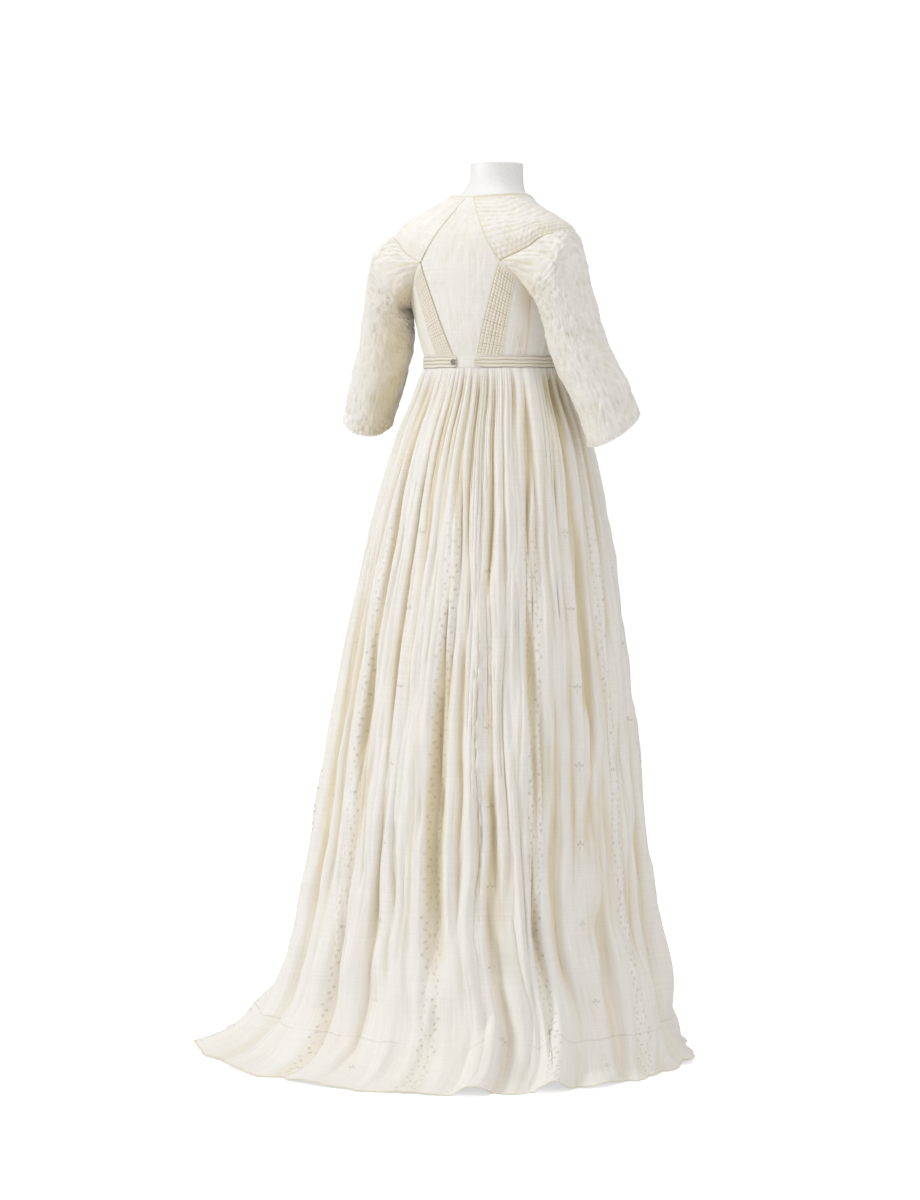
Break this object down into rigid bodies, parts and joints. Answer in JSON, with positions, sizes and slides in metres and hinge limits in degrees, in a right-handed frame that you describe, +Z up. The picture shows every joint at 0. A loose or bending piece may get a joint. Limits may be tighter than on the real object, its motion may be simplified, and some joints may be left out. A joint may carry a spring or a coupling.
{
  "type": "regency gown on a dress form",
  "caption": "High-waisted cotton gown with a diamond-cut back, elbow sleeves, a narrow belt and a gathered skirt with a short train, on a limbless dress form.",
  "frame": {"origin": "centre of the stand base's underside, on the floor", "axes": "+Z up, +Y toward the back of the gown and its train, -Y toward its front, -X toward the wearer's right"},
  "size_m": [0.7926, 0.7546, 1.441],
  "materials": {
    "centre_back": "fine plain-woven cotton, sheer and matt",
    "side_back_left": "fine plain-woven cotton, sheer and matt",
    "side_back_right": "fine plain-woven cotton, sheer and matt",
    "shoulder_left": "fine plain-woven cotton, sheer and matt",
    "shoulder_right": "fine plain-woven cotton, sheer and matt",
    "bodice_front": "fine plain-woven cotton, sheer and matt",
    "neck_binding": "fine plain-woven cotton, sheer and matt",
    "sleeve_left": "fine plain-woven cotton, sheer and matt",
    "sleeve_right": "fine plain-woven cotton, sheer and matt",
    "waistband": "fine plain-woven cotton, sheer and matt",
    "belt": "fine plain-woven cotton, sheer and matt",
    "skirt_back_left": "fine plain-woven cotton with small printed vines and sprigs",
    "skirt_back_right": "fine plain-woven cotton with small printed vines and sprigs",
    "skirt_side_left": "fine plain-woven cotton with small printed vines and sprigs",
    "skirt_side_right": "fine plain-woven cotton with small printed vines and sprigs",
    "skirt_front": "fine plain-woven cotton with small printed vines and sprigs",
    "button": "thread wound over a ring",
    "form_torso": "smooth white",
    "stand_pole": "satin light grey",
    "stand_base": "satin light grey"
  },
  "bodies": {
    "root": {"centre_back": "centre_back", "side_back_left": "side_back_left", "side_back_right": "side_back_right", "shoulder_left": "shoulder_left", "shoulder_right": "shoulder_right", "bodice_front": "bodice_front", "neck_binding": "neck_binding", "sleeve_left": "sleeve_left", "sleeve_right": "sleeve_right", "waistband": "waistband", "belt": "belt", "skirt_back_left": "skirt_back_left", "skirt_back_right": "skirt_back_right", "skirt_side_left": "skirt_side_left", "skirt_side_right": "skirt_side_right", "skirt_front": "skirt_front", "button": "button", "form_torso": "form_torso", "stand_pole": "stand_pole", "stand_base": "stand_base"}
  },
  "joints": []
}
